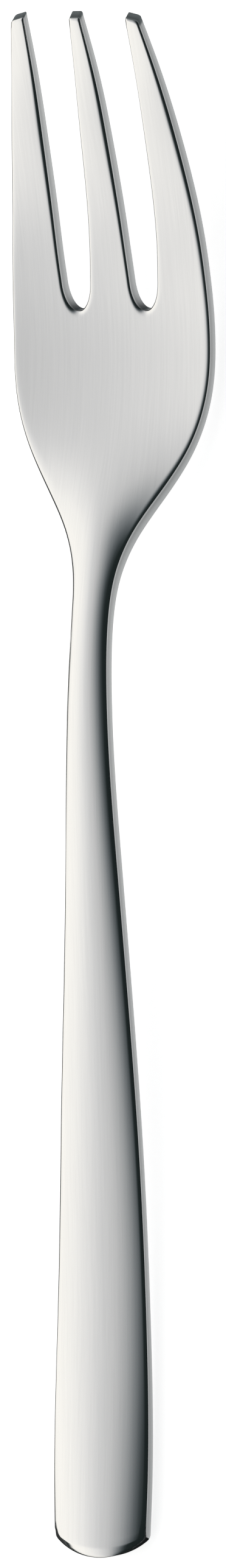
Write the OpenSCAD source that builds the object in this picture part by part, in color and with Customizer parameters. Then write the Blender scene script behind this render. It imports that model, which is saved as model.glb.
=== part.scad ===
// Pastry fork with three tines, pressed from one strip of stainless steel.
// Millimetres. The fork lies on its back on a table: +Y runs along it to the tips, +X is to the
// right and +Z is up. The origin is on the table, under the middle of the fork's length.
//
// The fork is drawn as its flat blank and then bent. A station runs along the back of the blank from
// the butt, x runs across it, and a height is measured square to the back. bent() carries such a
// place onto the side profile, so the steel keeps its thickness through the arch and up the tines.
// The blank is one piece. It is divided square across into the zones that a cutler names, and each
// zone shares its end faces with the next one exactly.

/* [Lengths, measured along the table] */
// Handle, from the butt to where the neck begins
handle_length = 84; // [72:1:96]
// Neck, over the top of the arch and down to the shoulders
neck_length = 20; // [17:0.5:24]
// Head, from the shoulders to the roots of the slots
head_length = 23.3; // [20:0.1:27]
// Tines, from the roots of the slots to the tips
tine_length = 29.4; // [25:0.1:34]

/* [Side profile] */
// Height of the back above the table at the top of the arch
arch_rise = 7; // [5.5:0.1:8.5]
// Height of the back above the table at the tips
tip_rise = 14.4; // [11:0.1:17]

/* [Outline] */
// Width of the handle near its butt, where it is widest
butt_width = 10.1; // [8:0.1:12]
// Radius of the arc that ends the handle
butt_radius = 7; // [6.5:0.1:9]
// Width of the neck, where it is narrowest
neck_width = 3.92; // [3.2:0.02:4.6]
// Width of the head, where it is widest
head_width = 21.1; // [18:0.1:24]
// Width over the two outer tines at their tips
tip_spread = 13.4; // [12.9:0.1:15]

/* [Slots between the tines] */
// Distance from the middle of the fork to the middle of a slot at its root
slot_root_offset = 3.62; // [3.4:0.01:3.9]
// Distance from the middle of the fork to the middle of a slot at the tips
slot_tip_offset = 2.97; // [2.9:0.01:3.1]
// Width of a slot where its rounded root ends
slot_root_width = 3.06; // [2.6:0.02:3.4]
// Width of a slot at the tips
slot_tip_width = 4.86; // [4.6:0.02:5]
// Length of the rounded root of a slot
slot_round_length = 2.9; // [2:0.1:4]
// How much shorter an outer tine is on its outer side
tip_slant = 0.3; // [0.1:0.05:0.6]

/* [Steel] */
// Thickness of the edge at the butt
butt_edge = 1.9; // [1.5:0.05:2.2]
// Thickness of the edge at the grip, a third of the way along the handle
grip_edge = 1.67; // [1.4:0.01:2]
// Thickness of the edge at the neck
neck_edge = 1.95; // [1.6:0.05:2.4]
// Thickness of the head at the roots of the slots
root_edge = 2.16; // [1.8:0.02:2.5]
// Thickness of the tines at their tips
tip_edge = 1.45; // [1.2:0.05:1.8]
// How far the middle of the face stands above the edges, half way along the handle
handle_crown = 0.64; // [0.4:0.02:0.8]
// How far the middle of the neck's face stands above its edges
neck_crown = 0.55; // [0.3:0.01:0.7]
// How far the head's sides stand above its middle, as in a very shallow spoon
dish_depth = 0.4; // [0.1:0.05:0.6]

/* [Worn and rolled edges] */
// Width of the strip along the sides where the face rolls off towards its rim
face_roll = 0.55; // [0.3:0.05:0.7]
// Width of that strip at the tips
tip_roll = 0.28; // [0.16:0.02:0.34]
// How far the face rolls off there
face_drop = 0.17; // [0.1:0.01:0.3]
// Radius of the edge all round the back
back_break = 0.22; // [0.1:0.02:0.3]
// Length over which the face rolls down to the end of the butt
butt_roll = 1.1; // [0.5:0.1:1.4]
// How far the face rolls down there
butt_drop = 0.45; // [0.3:0.05:0.6]
// Radius of the edges round the end of a tine
tip_break = 0.2; // [0.1:0.05:0.3]

/* [Hidden] */

// Stations where one zone ends and the next begins
neck_start = handle_length;
head_start = neck_start + neck_length;
root_station = head_start + head_length;
tip_station = root_station + tine_length;
tine_start = root_station + slot_round_length;

// How deep the arc of the butt is
arc_depth = butt_radius - sqrt(pow(butt_radius, 2) - pow(butt_width / 2, 2));

// Each table of shares has rows of [share of the zone's length, share of the named size]
butt_rise_shares = [[0, 0], [0.14, 0.007], [0.36, 0.115], [0.6, 0.385], [0.84, 0.743]];
arch_rise_shares = [[0.2, 1], [0.6, 0.896], [1, 0.548]];
bowl_rise_shares = [[0.3, 0.208], [0.52, 0.062], [0.72, 0]];
root_rise_shares = [[1, 0.042]];
tine_rise_shares = [[0.12, 0.105], [0.3, 0.222], [0.6, 0.504], [0.8, 0.726], [1, 1]];
handle_width_shares = [[0, 0.955], [0.1, 1], [0.28, 0.955], [0.5, 0.835], [0.75, 0.624]];
neck_width_shares = [[0, 1.12], [0.3, 1.03], [0.57, 1]];
shoulder_width_shares = [[0.79, 0.223], [1, 0.366]];
head_width_shares = [[0.16, 0.575], [0.35, 0.802], [0.6, 0.967], [0.85, 1]];
root_width_shares = [[0, 0.995], [0.22, 0.96]];
tine_width_shares = [[0.45, 1.4], [0.75, 1.205], [0.92, 1.07], [1, 1]];
butt_thickness_shares = [[0, 1]];
grip_thickness_shares = [[0.34, 1], [0.7, 1.08]];
neck_thickness_shares = [[0, 0.985], [1, 1.03]];
head_thickness_shares = [[0.6, 0.986], [1, 1]];
root_thickness_shares = [[0.4, 0.965]];
tip_thickness_shares = [[0.75, 1.255], [1, 1]];
handle_crown_shares = [[0, 1.62], [0.1, 1.52], [0.2, 1.31], [0.33, 1.09], [0.5, 1], [0.7, 0.93]];
neck_crown_shares = [[0, 0.98], [0.55, 1.03], [0.8, 1.2], [1, 1.44]];
head_crown_shares = [[0.1, 1.38], [0.2, 1.15], [0.3, 0.76], [0.4, 0.33], [0.5, 0.05], [0.6, 0]];
head_dish_shares = [[0.4, 0], [0.6, 0.52], [0.8, 0.85], [1, 1]];
tine_dish_shares = [[0.4, 0.45], [1, 0.2]];
slot_offset_shares = [[0, 1], [0.17, 1.005], [0.32, 0.992], [0.49, 0.967]];
slot_tip_offset_shares = [[0.73, 1.118], [1, 1]];
slot_width_shares = [[0, 0.95], [0.1, 1], [0.145, 1.06], [0.23, 1.157], [0.32, 1.222], [0.49, 1.3]];
slot_tip_width_shares = [[0.73, 0.879], [1, 1]];

// Share of the crown that rolls off towards the edges instead of falling evenly from the middle
crown_roll_share = 0.2;
// Inset and drop at the three lines that draw the roll of the face, as shares of its width and drop
face_shares = [[1, 0], [0.35, 0.28], [0, 1]];
// Share of the drop at those lines where the face rolls down to the butt
butt_drop_shares = [0, 0.6, 1];
// Inset and drop at the three lines that draw the edge of the back, as shares of its radius
back_shares = [[1, 0], [0.3, 0.3], [0, 1]];
levels = 2 * len(face_shares);

// Numbers of strips across and along the mesh of each zone
tine_strips = 3;
slot_strips = 8;
strips = 3 * tine_strips + 2 * slot_strips;
handle_rows = 26;
neck_rows = 12;
head_rows = 12;
tine_rows = 14;

// Points of a profile inside one zone
function along(start, length, shares, size) = [for (p = shares) [start + p[0] * length, p[1] * size]];

// A smooth curve through points, as rows of [station, value, second derivative]. It is the curve that
// a thin springy rule takes when it is pinned at the points.
function swept(p, i, c, d) =
    i == len(p) - 1 ? [] :
    let (before = p[i][0] - p[i - 1][0],
         after = p[i + 1][0] - p[i][0],
         turn = (p[i + 1][1] - p[i][1]) / after - (p[i][1] - p[i - 1][1]) / before,
         pivot = 2 * (before + after) - before * c,
         next_c = after / pivot,
         next_d = (6 * turn - before * d) / pivot)
    concat([[next_c, next_d]], swept(p, i + 1, next_c, next_d));

function back_swept(cd, i, later) =
    i < 0 ? [] :
    let (bend = cd[i][1] - cd[i][0] * later)
    concat(back_swept(cd, i - 1, bend), [bend]);

function curve(points) =
    let (cd = swept(points, 1, 0, 0),
         bends = concat([0], back_swept(cd, len(cd) - 1, 0), [0]))
    [for (i = [0:len(points) - 1]) [points[i][0], points[i][1], bends[i]]];

function span(c, s) =
    let (reached = [for (i = [0:len(c) - 2]) if (c[i][0] <= s) i])
    len(reached) == 0 ? 0 : reached[len(reached) - 1];

function value(c, s) =
    let (i = span(c, s), a = c[i], b = c[i + 1], h = b[0] - a[0],
         t = max(0, min(1, (s - a[0]) / h)), u = 1 - t)
    u * a[1] + t * b[1] + ((pow(u, 3) - u) * a[2] + (pow(t, 3) - t) * b[2]) * h * h / 6;

function slope(c, s) =
    let (i = span(c, s), a = c[i], b = c[i + 1], h = b[0] - a[0],
         t = max(0, min(1, (s - a[0]) / h)), u = 1 - t)
    (b[1] - a[1]) / h + ((1 - 3 * u * u) * a[2] + (3 * t * t - 1) * b[2]) * h / 6;

rise = curve(concat(
    along(0, handle_length, butt_rise_shares, arch_rise),
    along(neck_start, neck_length, arch_rise_shares, arch_rise),
    along(head_start, head_length, bowl_rise_shares, arch_rise),
    along(head_start, head_length, root_rise_shares, tip_rise),
    along(root_station, tine_length, tine_rise_shares, tip_rise)));

outline = curve(concat(
    along(0, handle_length, handle_width_shares, butt_width / 2),
    along(neck_start, neck_length, neck_width_shares, neck_width / 2),
    along(neck_start, neck_length, shoulder_width_shares, head_width / 2),
    along(head_start, head_length, head_width_shares, head_width / 2),
    along(root_station, tine_length, root_width_shares, head_width / 2),
    along(root_station, tine_length, tine_width_shares, tip_spread / 2)));

edge = curve(concat(
    along(0, handle_length, butt_thickness_shares, butt_edge),
    along(0, handle_length, grip_thickness_shares, grip_edge),
    along(neck_start, neck_length, neck_thickness_shares, neck_edge),
    along(head_start, head_length, head_thickness_shares, root_edge),
    along(root_station, tine_length, root_thickness_shares, root_edge),
    along(root_station, tine_length, tip_thickness_shares, tip_edge)));

crown = curve(concat(
    along(0, handle_length, handle_crown_shares, handle_crown),
    along(neck_start, neck_length, neck_crown_shares, neck_crown),
    along(head_start, head_length, head_crown_shares, neck_crown),
    [[tip_station, 0]]));

dish = curve(concat(
    [[0, 0]],
    along(head_start, head_length, head_dish_shares, dish_depth),
    along(root_station, tine_length, tine_dish_shares, dish_depth)));

slot_middle = curve(concat(
    along(root_station, tine_length, slot_offset_shares, slot_root_offset),
    along(root_station, tine_length, slot_tip_offset_shares, slot_tip_offset)));

slot_half = curve(concat(
    along(root_station, tine_length, slot_width_shares, slot_root_width / 2),
    along(root_station, tine_length, slot_tip_width_shares, slot_tip_width / 2)));

// Place in the bent fork of a station, a distance across and a height above the back
function bent(s, x, h) =
    let (tilt = atan(slope(rise, s)))
    [x, s - tip_station / 2 - h * sin(tilt), value(rise, s) + h * cos(tilt)];

// Height of the back and of the face above the blank's middle line. The dish has one radius all
// over the head, so it is shallower where the head is narrower.
function back_height(s, x) = max(0, value(dish, s)) * pow(2 * x / head_width, 2);

function face_height(s, x) =
    let (u = min(1, abs(x) / value(outline, s)),
         fall = (1 - crown_roll_share) * pow(u, 2) + crown_roll_share * pow(u, 6))
    value(edge, s) + back_height(s, x) + max(0, value(crown, s)) * (1 - fall);

// The edge is drawn in levels, from where the face begins to roll off (level 0) round to where the
// back is flat. inset is how far in from the outline a level lies, for these widths of the two edges.
function inset(level, face_width, back_width) =
    level < levels / 2 ? face_shares[level][0] * face_width
                       : back_shares[levels - 1 - level][0] * back_width;

// The strip that rolls off is narrower towards the tips, where the tines have little width left
function roll_width(s) =
    mix(face_roll, tip_roll, max(0, min(1, (s - tine_start) / (tip_station - tine_start))));

function side_inset(s, level) = inset(level, roll_width(s), back_break);

// How far a level lies below the face. The roll of the butt fades out along the sides.
function roll_drop(s, level) =
    mix(butt_drop_shares[level] * butt_drop, face_shares[level][1] * face_drop,
        min(1, s / (2 * arc_depth)));

function level_height(s, x, level) =
    level < levels / 2 ? face_height(s, x) - roll_drop(s, level)
                       : back_height(s, x) + back_shares[levels - 1 - level][1] * back_break;

// Half the width of the fork at a station and a level
function reach(s, level) = value(outline, s) - side_inset(s, level);

// A closed plate over a grid of strips. plan(j, k, level) gives [station, x] for strip line j, counted
// from +X to -X, and row k, counted from the butt.
module plate(across, rows, plan) {
    grid = [for (k = [0:rows]) for (j = [0:across]) [j, k]];
    rim = concat(
        [for (j = [0:across - 1]) [j, 0]],
        [for (k = [0:rows - 1]) [across, k]],
        [for (j = [across:-1:1]) [j, rows]],
        [for (k = [rows:-1:1]) [0, k]]);
    places = concat(
        [for (g = grid) concat(g, [0])],
        [for (level = [1:levels - 2]) for (r = rim) concat(r, [level])],
        [for (g = grid) concat(g, [levels - 1])]);
    points = [for (p = places)
        let (q = plan(p[0], p[1], p[2]))
        bent(q[0], q[1], level_height(q[0], q[1], p[2]))];
    size = len(grid);
    count = len(rim);
    back_first = size + (levels - 2) * count;
    function on_grid(j, k) = k * (across + 1) + j;
    function on_rim(level, i) =
        let (r = rim[i % count])
        level == 0 ? on_grid(r[0], r[1]) :
        level == levels - 1 ? back_first + on_grid(r[0], r[1]) :
        size + (level - 1) * count + i % count;
    face = [for (k = [0:rows - 1]) for (j = [0:across - 1])
        let (a = on_grid(j, k), b = on_grid(j + 1, k),
             c = on_grid(j + 1, k + 1), d = on_grid(j, k + 1))
        each [[a, b, c], [a, c, d]]];
    back = [for (f = face) [f[2] + back_first, f[1] + back_first, f[0] + back_first]];
    wall = [for (level = [0:levels - 2]) for (i = [0:count - 1])
        let (a = on_rim(level, i), b = on_rim(level, i + 1),
             c = on_rim(level + 1, i + 1), d = on_rim(level + 1, i))
        each [[b, a, d], [b, d, c]]];
    polyhedron(points, concat(face, back, wall), convexity = 6);
}

function even_share(j) = 1 - 2 * j / strips;
function mix(a, b, share) = a + (b - a) * share;

// Handle: the strips start on the arc of the butt and end square across, at the neck
function butt_station(j, level) =
    let (x = even_share(j) * reach(butt_width / 2, level),
         radius = butt_radius - inset(level, butt_roll, back_break))
    butt_radius - sqrt(radius * radius - x * x);

function handle_plan(j, k, level) =
    let (s = mix(butt_station(j, level), neck_start, k / handle_rows))
    [s, even_share(j) * reach(s, level)];

module handle() {
    color("silver")
        plate(strips, handle_rows, function (j, k, level) handle_plan(j, k, level));
}

// Neck: square across at both ends
function neck_plan(j, k, level) =
    let (s = mix(neck_start, head_start, k / neck_rows))
    [s, even_share(j) * reach(s, level)];

module neck() {
    color("silver")
        plate(strips, neck_rows, function (j, k, level) neck_plan(j, k, level));
}

// Sides of the tines, where a slot's straight part runs
function tine_inner(s, level) =
    value(slot_middle, s) + value(slot_half, s) + side_inset(s, level);

function middle_half(s, level) =
    value(slot_middle, s) - value(slot_half, s) - side_inset(s, level);

// Front edge of the head: the base of the outer tine, the rounded root of the slot, and the base of
// the middle tine. The other half is its mirror image.
function root_edge_place(share, level) =
    let (edge_width = inset(level, face_roll, back_break),
         s = tine_start - (slot_round_length + edge_width) * sin(180 * share))
    [s, value(slot_middle, s) + (value(slot_half, s) + edge_width) * cos(180 * share)];

function front_place(j, level) =
    j > strips / 2 ? let (p = front_place(strips - j, level)) [p[0], -p[1]] :
    j <= tine_strips ?
        [tine_start, mix(reach(tine_start, level), tine_inner(tine_start, level), j / tine_strips)] :
    j <= tine_strips + slot_strips ? root_edge_place((j - tine_strips) / slot_strips, level) :
    [tine_start, middle_half(tine_start, level) * (strips - 2 * j) / tine_strips];

// Head: the strips start square across at the neck and fan out to meet the roots and the tines
function head_plan(j, k, level) =
    let (share = k / head_rows,
         front = front_place(j, level),
         s = mix(head_start, front[0], share),
         across = mix(even_share(j), front[1] / reach(front[0], level), share))
    [s, across * reach(s, level)];

module head() {
    color("silver")
        plate(strips, head_rows, function (j, k, level) head_plan(j, k, level));
}

// Outer tine, drawn on the right: the end slants away towards its outer side
function outer_plan(j, k, level) =
    let (end = tip_station - tip_slant * (1 - j / tine_strips) - inset(level, tip_break, tip_break),
         s = mix(tine_start, end, k / tine_rows))
    [s, mix(reach(s, level), tine_inner(s, level), j / tine_strips)];

module right_tine() {
    color("silver")
        plate(tine_strips, tine_rows, function (j, k, level) outer_plan(j, k, level));
}

module left_tine() {
    mirror([1, 0, 0]) right_tine();
}

// Middle tine: the same taper on both sides and a square end
function middle_plan(j, k, level) =
    let (end = tip_station - inset(level, tip_break, tip_break),
         s = mix(tine_start, end, k / tine_rows))
    [s, middle_half(s, level) * (1 - 2 * j / tine_strips)];

module middle_tine() {
    color("silver")
        plate(tine_strips, tine_rows, function (j, k, level) middle_plan(j, k, level));
}

handle();
neck();
head();
left_tine();
middle_tine();
right_tine();
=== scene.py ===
# %% [markdown]
# # A pastry fork with three tines
# The real fork is one strip of stainless steel. A press cuts its outline and its two slots, a second
# press bends the flat blank to its side profile, and polishing wheels round its edges and brighten it.
# This lesson works in the same order: it draws the flat blank as a mesh, bends it with Geometry Nodes
# along a curve, gives it polished steel, and sets it on a pale floor under a soft light tent.
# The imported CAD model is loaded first. Its box is kept, so that the finished fork can be compared with it.

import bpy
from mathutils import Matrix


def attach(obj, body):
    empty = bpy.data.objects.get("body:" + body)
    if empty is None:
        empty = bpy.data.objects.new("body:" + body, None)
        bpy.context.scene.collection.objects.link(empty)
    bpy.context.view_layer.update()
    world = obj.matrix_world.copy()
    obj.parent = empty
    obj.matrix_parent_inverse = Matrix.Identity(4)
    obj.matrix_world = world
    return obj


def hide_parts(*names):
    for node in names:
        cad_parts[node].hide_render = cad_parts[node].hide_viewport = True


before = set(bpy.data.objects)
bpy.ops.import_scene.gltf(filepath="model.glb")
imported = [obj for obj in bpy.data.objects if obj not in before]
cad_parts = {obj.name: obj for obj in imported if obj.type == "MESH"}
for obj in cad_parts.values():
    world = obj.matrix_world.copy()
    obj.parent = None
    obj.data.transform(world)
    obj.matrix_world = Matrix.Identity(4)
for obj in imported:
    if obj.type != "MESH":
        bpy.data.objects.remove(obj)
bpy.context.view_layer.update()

# %% Tools
import math

import bmesh
import bpy
import numpy as np
from mathutils import Matrix, Vector

MM = 0.001
scene = bpy.context.scene

# %% [markdown]
# ## The view
# The photo looks straight down at the fork from about 19 degrees to its right, with the tips at the top
# of a tall, narrow picture. A long lens keeps the two ends the same size. Blender puts the sensor width
# along the longer side of the picture, so the lens follows from the height that the picture covers.

# %% Place the camera
VIEW_TURN = math.radians(19.0)
VIEW_ROLL = math.radians(0.673)
VIEW_DISTANCE = 1.0
VIEW_HEIGHT = 0.15916
VIEW_AIM = Vector((0.0, 0.00015, 0.005))
VIEW_OFFSET = (0.00147, 0.00022)

towards = Vector((math.sin(VIEW_TURN), 0.0, math.cos(VIEW_TURN)))
level = Vector((math.cos(VIEW_TURN), 0.0, -math.sin(VIEW_TURN)))
forward = Vector((0.0, 1.0, 0.0))
right = level * math.cos(VIEW_ROLL) + forward * math.sin(VIEW_ROLL)
up = forward * math.cos(VIEW_ROLL) - level * math.sin(VIEW_ROLL)

lens = bpy.data.cameras.new("view")
lens.sensor_width = 36.0
lens.lens = lens.sensor_width * VIEW_DISTANCE / VIEW_HEIGHT
lens.clip_start, lens.clip_end = 0.05, 20.0
camera = bpy.data.objects.new("view", lens)
scene.collection.objects.link(camera)
turned = Matrix((right, up, towards)).transposed().to_4x4()
camera.matrix_world = Matrix.Translation(
    VIEW_AIM + right * VIEW_OFFSET[0] + up * VIEW_OFFSET[1] + towards * VIEW_DISTANCE
) @ turned
scene.camera = camera
print("lens in mm:", round(lens.lens, 1))

# %% [markdown]
# ## The sizes of the blank
# The blank is described along its back: a station runs from the butt to the tips, and each zone of the
# fork has its own length. The sizes are the ones that the CAD source gives, in millimetres. The tables
# say how a size changes inside a zone, as shares of the zone and of the size. They are a little finer
# than the CAD's where a mirror shows more than a drawing: by about a tenth of a millimetre, on the
# outline near the neck, in the head's shallow bowl and along the edges.

# %% Named sizes, in millimetres
handle_length, neck_length, head_length, tine_length = 84.0, 20.0, 23.3, 29.4
arch_rise, tip_rise = 7.0, 14.4
butt_width, butt_radius, neck_width, head_width, tip_spread = 10.1, 7.0, 3.92, 21.1, 13.4
slot_root_offset, slot_tip_offset = 3.62, 2.97
slot_root_width, slot_tip_width, slot_round_length = 3.06, 4.86, 2.9
butt_edge, grip_edge, neck_edge, root_edge, tip_edge = 1.9, 1.67, 1.95, 2.16, 1.45
handle_crown, neck_crown, dish_depth, tip_slant = 0.64, 0.55, 0.4, 0.3
crown_roll = 0.2

neck_start = handle_length
head_start = neck_start + neck_length
root_station = head_start + head_length
tip_station = root_station + tine_length
tine_start = root_station + slot_round_length

# Start and length of each zone
handle, neck = (0, handle_length), (neck_start, neck_length)
head, tines = (head_start, head_length), (root_station, tine_length)

# %% [markdown]
# ## Smooth curves through a few points
# A polished surface shows every kink in a reflection, so the outline and the heights follow the curve
# that a thin springy rule takes when it is pinned at points. Its bend changes evenly from pin to pin.

# %% Draw a smooth curve through points
def smooth_curve(*tables):
    """A function of the station, through the points of all tables. Its second argument 1 gives the slope."""
    knots, levels = np.array([row for table in tables for row in table], float).T
    gap, count = np.diff(knots), len(knots)
    system, side = np.eye(count), np.zeros(count)
    for i in range(1, count - 1):
        system[i, i - 1 : i + 2] = gap[i - 1], 2 * (gap[i - 1] + gap[i]), gap[i]
        side[i] = 6 * ((levels[i + 1] - levels[i]) / gap[i] - (levels[i] - levels[i - 1]) / gap[i - 1])
    bend = np.linalg.solve(system, side)

    def at(station, slope=0):
        s = np.clip(station, knots[0], knots[-1])
        i = np.clip(np.searchsorted(knots, s, side="right") - 1, 0, count - 2)
        h, t = gap[i], (s - knots[i]) / gap[i]
        u = 1 - t
        if slope:
            return (levels[i + 1] - levels[i]) / h + (
                (1 - 3 * u * u) * bend[i] + (3 * t * t - 1) * bend[i + 1]
            ) * h / 6
        bent = ((u**3 - u) * bend[i] + (t**3 - t) * bend[i + 1]) * h * h / 6
        return u * levels[i] + t * levels[i + 1] + bent

    return at


def along(zone, shares, size):
    """The points of one zone: [share of its length, share of the size] as [station, millimetres]."""
    start, length = zone
    return [(start + place * length, share * size) for place, share in shares]


# %% Side profile, outline, thickness, crown and dish
rise = smooth_curve(
    along(handle, [(0, 0), (0.14, 0.007), (0.36, 0.115), (0.6, 0.385), (0.84, 0.743)], arch_rise),
    along(neck, [(0.2, 1), (0.6, 0.896), (1, 0.548)], arch_rise),
    along(head, [(0.3, 0.208), (0.52, 0.062), (0.72, 0)], arch_rise),
    along(head, [(1, 0.042)], tip_rise),
    along(tines, [(0.12, 0.105), (0.3, 0.222), (0.6, 0.504), (0.8, 0.726), (1, 1)], tip_rise),
)
outline = smooth_curve(
    along(handle, [(0, 0.955), (0.1, 1), (0.28, 0.955), (0.5, 0.835), (0.75, 0.624)], butt_width / 2),
    along(neck, [(0, 1.12), (0.3, 1.03), (0.57, 1)], neck_width / 2),
    along(neck, [(0.79, 0.223), (1, 0.361)], head_width / 2),
    along(head, [(0.16, 0.567), (0.35, 0.799), (0.6, 0.967), (0.85, 1)], head_width / 2),
    along(tines, [(0, 0.995), (0.22, 0.96)], head_width / 2),
    along(tines, [(0.45, 1.4), (0.75, 1.205), (0.92, 1.07), (1, 1)], tip_spread / 2),
)
thickness = smooth_curve(
    along(handle, [(0, 1)], butt_edge),
    along(handle, [(0.34, 1), (0.7, 1.08)], grip_edge),
    along(neck, [(0, 0.985), (1, 1.03)], neck_edge),
    along(head, [(0.6, 0.986), (1, 1)], root_edge),
    along(tines, [(0.4, 0.965)], root_edge),
    along(tines, [(0.75, 1.255), (1, 1)], tip_edge),
)
crown = smooth_curve(
    along(handle, [(0, 1.62), (0.1, 1.52), (0.2, 1.31), (0.33, 1.09), (0.5, 1), (0.7, 0.93)], handle_crown),
    along(neck, [(0, 0.98), (0.55, 1.03), (0.8, 1.2), (1, 1.44)], neck_crown),
    along(head, [(0.1, 1.29), (0.2, 0.98), (0.3, 0.54), (0.4, 0.18), (0.5, 0.01), (0.6, 0)], neck_crown),
    [(tip_station, 0)],
)
dish = smooth_curve(
    [(0, 0)],
    along(head, [(0.15, 0), (0.3, 0.16), (0.4, 0.42), (0.6, 0.93), (0.8, 1.06), (1, 1.04)], dish_depth),
    along(tines, [(0.4, 0.45), (1, 0.2)], dish_depth),
)
slot_middle = smooth_curve(
    along(tines, [(0, 1), (0.17, 1.005), (0.32, 0.992), (0.49, 0.967)], slot_root_offset),
    along(tines, [(0.73, 1.118), (1, 1)], slot_tip_offset),
)
slot_half = smooth_curve(
    along(tines, [(0, 0.95), (0.1, 1), (0.145, 1.06), (0.23, 1.157)], slot_root_width / 2),
    along(tines, [(0.32, 1.222), (0.49, 1.3)], slot_root_width / 2),
    along(tines, [(0.73, 0.879), (1, 1)], slot_tip_width / 2),
)
widest = 2 * float(outline(np.linspace(0, tip_station, 1000)).max())
print("length of the blank's plan in mm:", tip_station, " widest:", round(widest, 2))

# %% [markdown]
# ## How the wheels round the edges
# A soft polishing wheel doesn't leave a flat face: near an edge it takes off more and more, so the face
# rolls off slowly and then ends on a crisp rim. It does so where it runs off the steel, which is on the
# right of this fork. The left edges fall off only close to the rim, so they look nearly sharp. At the
# butt it runs right over the end and makes a slope with a soft start. The back has plain rounded edges,
# widest at the outer corners of the tips, so the fork glides over a plate. Each table gives one edge in
# steps, from the face to the wall. The tips are ground last, each a little differently.

# %% Widths and depths of the rounded edges, in millimetres
FACE_HANDLE, FACE_NECK, FACE_HEAD = (0.4, 0.115), (0.3, 0.045), (0.55, 0.17)
FACE_SLOT, FACE_ROOT = (0.36, 0.15), (0.76, 0.3)
FACE_LEFT_TIP, FACE_TIP = (0.2, 0.06), (0.24, 0.12)
FACE_BUTT_MIDDLE, FACE_BUTT_CORNER = (1.15, 0.46), (0.6, 0.36)
BACK_SIDE, BACK_SLOT, BACK_TIP, BACK_OUTER_TIP = (0.22, 0.22), (0.16, 0.16), (0.2, 0.2), (0.3, 0.3)

# Powers: how soon an edge narrows from the butt's middle, and widens towards a root's middle
BUTT_SPREAD, ROOT_SPREAD = 1.6, 3

# Corners in plan: width from the side, and how far the end falls back there
BUTT_CORNER, TIP_CORNER, OUTER_TIP_CORNER = (0.32, 0.26), (0.15, 0.15), (0.34, 0.19)

# Lengths over which one edge turns into the next. Two say first how far ahead of the zone they start.
BUTT_BLEND, LEFT_BUTT_BLEND, TIP_BLEND, SLOT_BLEND = 2.5, 0.9, 12.0, 18.0
NECK_BLEND, HEAD_BLEND = (6, 12), (2, 7)

# Grinding of the tips. Two are (depth, length), and two have one value for each tine from the right.
TIP_DRAW, RIGHT_TINE_GROUND = (0.15, 1.2), (0.12, 16.0)
TIP_LEAN, TIP_SETBACK = (0, 0.1, 0), (0.3, 0.15, 0.1)

# How far in from the rim, and how far down, as shares of an edge's width and depth
FACE_ROLL = [(1, 0), (0.8, 0.01), (0.6, 0.065), (0.42, 0.2), (0.25, 0.42), (0.12, 0.68), (0.035, 0.9), (0, 1)]
LEFT_ROLL = [(1, 0), (0.8, 0.01), (0.6, 0.035), (0.42, 0.075), (0.25, 0.15)]
LEFT_ROLL += [(0.14, 0.28), (0.05, 0.68), (0, 1)]
BUTT_ROLL = [(1, 0), (0.9, 0.03), (0.76, 0.14), (0.56, 0.33), (0.36, 0.52), (0.17, 0.71), (0.05, 0.9), (0, 1)]
BACK_ROLL = [(1 - math.sin(a), 1 - math.cos(a)) for a in np.radians([0, 18, 36, 54, 72, 90])]

# %% The left edges, and the place where the butt's arc meets the sides
BUTT_SIDE_STATION = 2.0
BUTT_CORNER_STATION = butt_radius - math.sqrt(butt_radius**2 - float(outline(BUTT_SIDE_STATION)) ** 2)
left_width = smooth_curve(
    [(0, 0.4), (22, 0.42), (34, 0.6), (48, 0.5), (60, 0.4), (72, 0.2)],
    [(neck_start, 0.16), (neck_start + 12, 0.22)],
    [(head_start, 0.8), (head_start + 5, 1), (head_start + 11, 0.85), (root_station - 6, 0.62)],
    [(root_station, 0.58), (tine_start + 6, 0.48), (tip_station, 0.2)],
)
# Over the neck this curve dips below zero between its pins, so the rim stands up to 0.017 mm proud there
left_drop = smooth_curve(
    [(0, 0.09), (22, 0.1), (34, 0.2), (48, 0.1), (60, 0.08), (72, 0.01)],
    [(neck_start, 0.004), (neck_start + 11, 0.006)],
    [(neck_start + 16, 0.1), (head_start, 0.2), (head_start + 5, 0.32), (head_start + 11, 0.26)],
    [(head_start + 17, 0.13), (root_station, 0.11), (tip_station, 0.06)],
)


# %% Blend sizes, and round each kind of edge
def ease(t):
    """From 0 to 1 with no kink at either end."""
    t = np.clip(t, 0, 1)
    return t * t * (3 - 2 * t)


def between(a, b, t):
    return a + (b - a) * t


def blend(first, second, t):
    """A pair of sizes that goes from the first pair to the second."""
    return between(first[0], second[0], t), between(first[1], second[1], t)


def side_round(s, step, face, outer, left):
    """How far in and how far down one step of the edge lies along a side. left marks the left edges."""
    if not face:
        usual, end = (BACK_SIDE, BACK_OUTER_TIP) if outer else (BACK_SLOT, BACK_TIP)
        first = usual
    elif left:
        usual = left_width(s), left_drop(s)
        end, first = FACE_LEFT_TIP, FACE_BUTT_CORNER
    elif outer:
        usual = blend(FACE_HANDLE, FACE_NECK, ease((s - neck_start + NECK_BLEND[0]) / NECK_BLEND[1]))
        usual = blend(usual, FACE_HEAD, ease((s - head_start + HEAD_BLEND[0]) / HEAD_BLEND[1]))
        end, first = FACE_TIP, FACE_BUTT_CORNER
    else:
        usual = blend(FACE_SLOT, FACE_HEAD, ease((s - tine_start) / SLOT_BLEND))
        end, first = FACE_TIP, FACE_SLOT
    size = blend(usual, end, ease(1 - (tip_station - s) / TIP_BLEND))
    near_butt = ease(1 - (s - BUTT_CORNER_STATION) / (LEFT_BUTT_BLEND if left else BUTT_BLEND))
    size = blend(size, first, near_butt)
    if face:
        roll = blend((LEFT_ROLL if left else FACE_ROLL)[step], BUTT_ROLL[step], near_butt)
    else:
        roll = BACK_ROLL[step]
    return size[0] * roll[0], size[1] * roll[1]


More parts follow.
